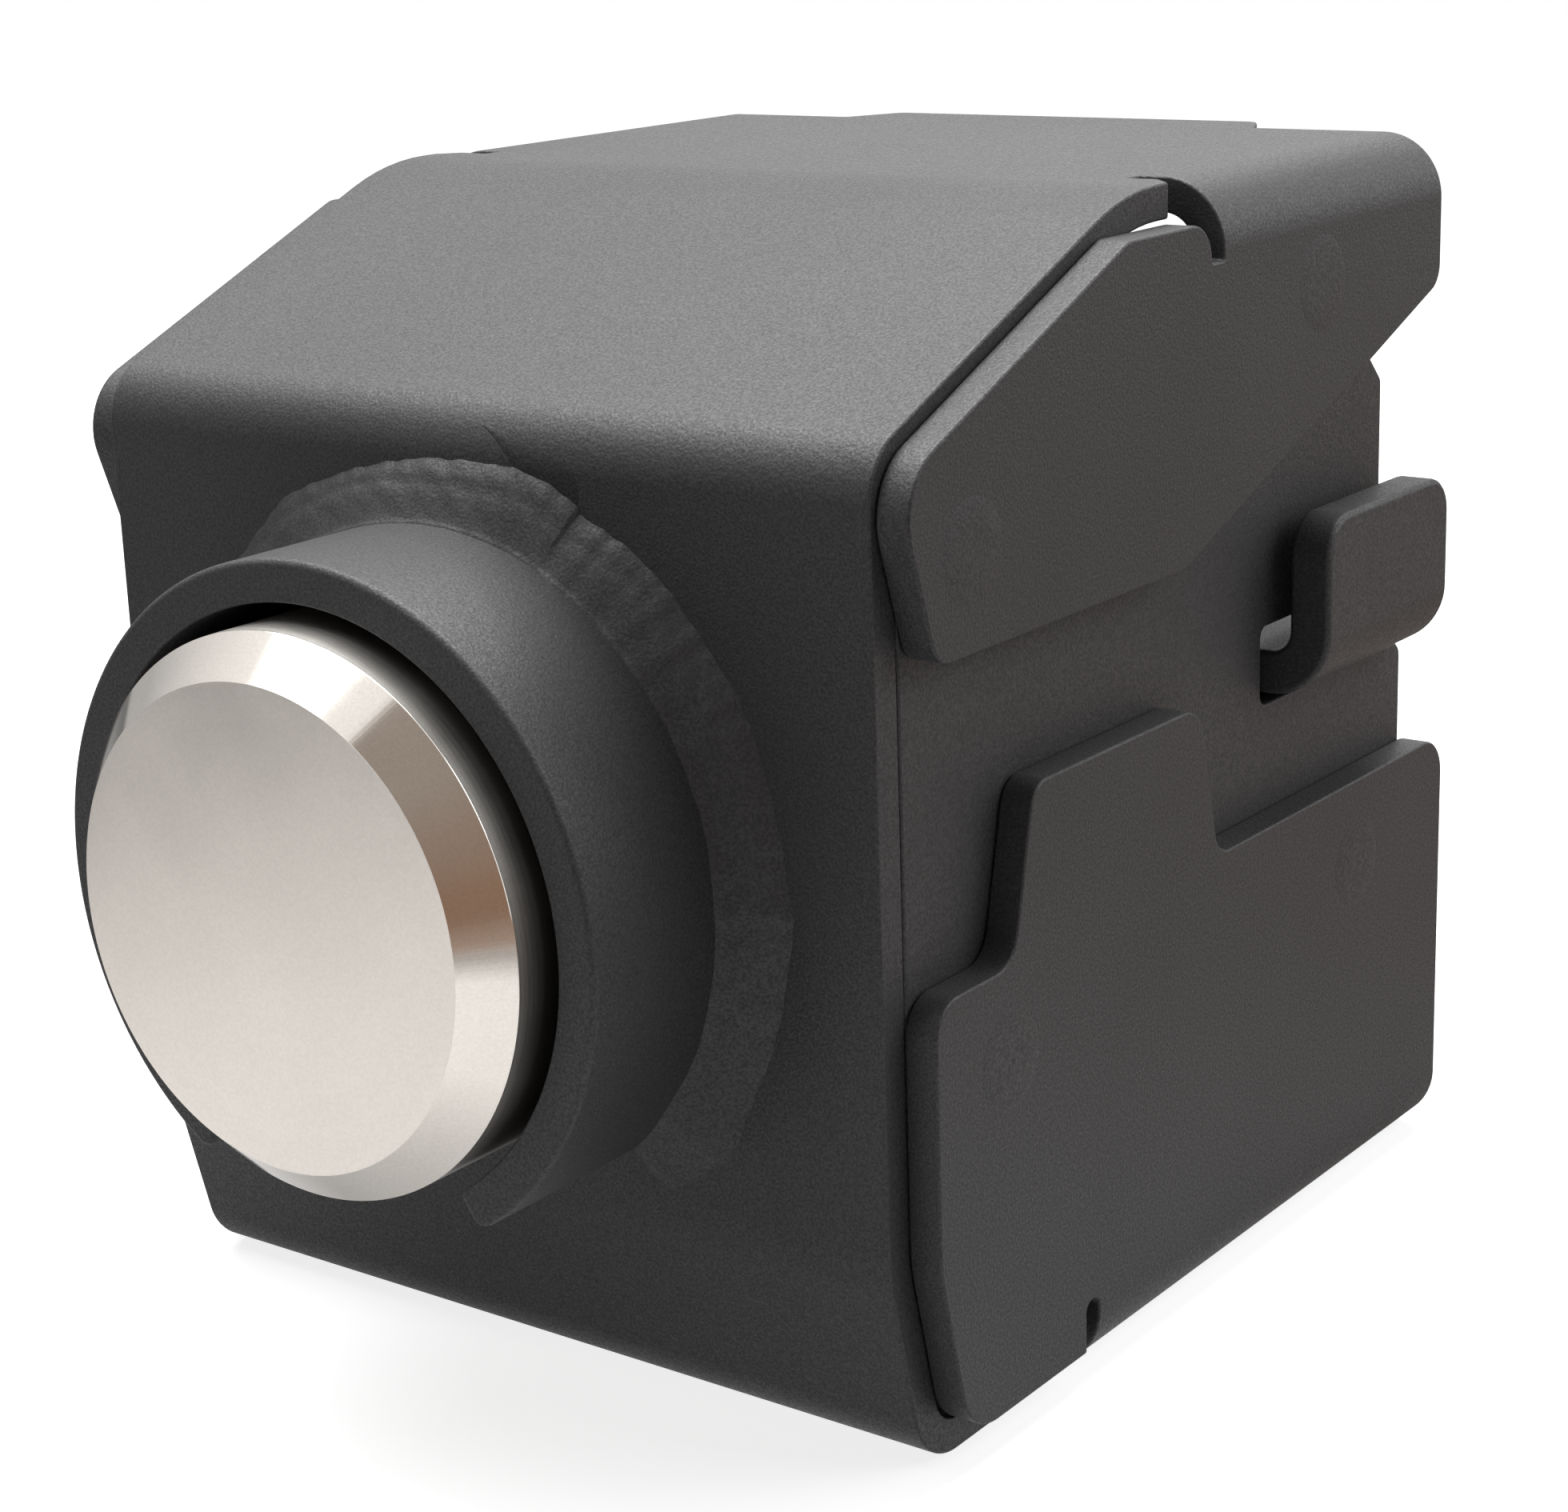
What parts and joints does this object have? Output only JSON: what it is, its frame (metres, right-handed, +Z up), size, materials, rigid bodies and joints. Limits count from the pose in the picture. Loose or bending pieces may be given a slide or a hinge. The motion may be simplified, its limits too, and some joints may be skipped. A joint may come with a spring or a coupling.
{
  "type": "lock box",
  "caption": "Folded steel lock housing, open at the back, with a sliding hook bar and a shrouded round padlock in a welded collar.",
  "frame": {"origin": "on the bottom plane, under the middle of the overall box", "axes": "+X to the right seen from the padlock's side, +Y from the padlock's face towards the open back, +Z up"},
  "size_m": [0.1456, 0.1872, 0.156],
  "materials": {
    "coated_shell": "fine-textured black powder coat on folded steel",
    "coated_plate": "fine-textured black powder coat on flat steel",
    "coated_collar": "fine-textured black powder coat on steel pipe",
    "coated_weld": "black powder coat over weld beads",
    "coated_bar": "fine-textured black powder coat on a bent flat bar",
    "bare_steel": "ground bare steel",
    "stainless_body": "satin stainless steel with a polished rim",
    "brass": "machined brass",
    "black_screw": "black oxide screw",
    "zinc_steel": "zinc-plated steel",
    "spring_wire": "bare spring wire"
  },
  "bodies": {
    "housing": {"folded_shell": "coated_shell", "side_plate_left": "coated_plate", "side_plate_right": "coated_plate", "plug_welds_left": "coated_weld", "plug_welds_right": "coated_weld", "seam_welds_left": "coated_weld", "seam_welds_right": "coated_weld", "lock_collar": "coated_collar", "collar_weld": "coated_weld", "guide_ledge_left": "coated_plate", "guide_ledge_right": "coated_plate", "ledge_welds": "coated_weld"},
    "bar": {"hook_bar": "coated_bar", "hasp_lug": "bare_steel", "lug_welds": "coated_weld"},
    "padlock": {"puck_body": "stainless_body", "bore_plug": "stainless_body", "cylinder_housing": "brass", "cylinder_screw": "black_screw", "driver_pins": "brass", "pin_springs": "spring_wire", "spring_cover": "zinc_steel"},
    "plug": {"key_plug": "brass", "key_pins": "brass", "plug_circlip": "zinc_steel", "cam_disc": "zinc_steel", "cam_stud": "bare_steel", "cam_screw": "black_screw"},
    "pin": {"shackle_pin": "bare_steel"}
  },
  "joints": [
    {"name": "bar_slide", "type": "slide", "parent": "housing", "child": "bar", "axis": [0, 1, 0], "range_m": [0, 0.06]},
    {"name": "padlock_slide", "type": "slide", "parent": "housing", "child": "padlock", "axis": [0, -1, 0], "range_m": [0, 0.04]},
    {"name": "key_turn", "type": "hinge", "parent": "padlock", "child": "plug", "pos_m": [0.002, -0.0761, 0.055], "axis": [0, 0, 1], "range_deg": [0, 90]},
    {"name": "pin_slide", "type": "slide", "parent": "padlock", "child": "pin", "axis": [-1, 0, 0], "range_m": [0, 0.01061]}
  ],
  "couplings": [
    {"joint": "pin_slide", "follows": "key_turn", "m_per_rad": 0.0067524}
  ]
}
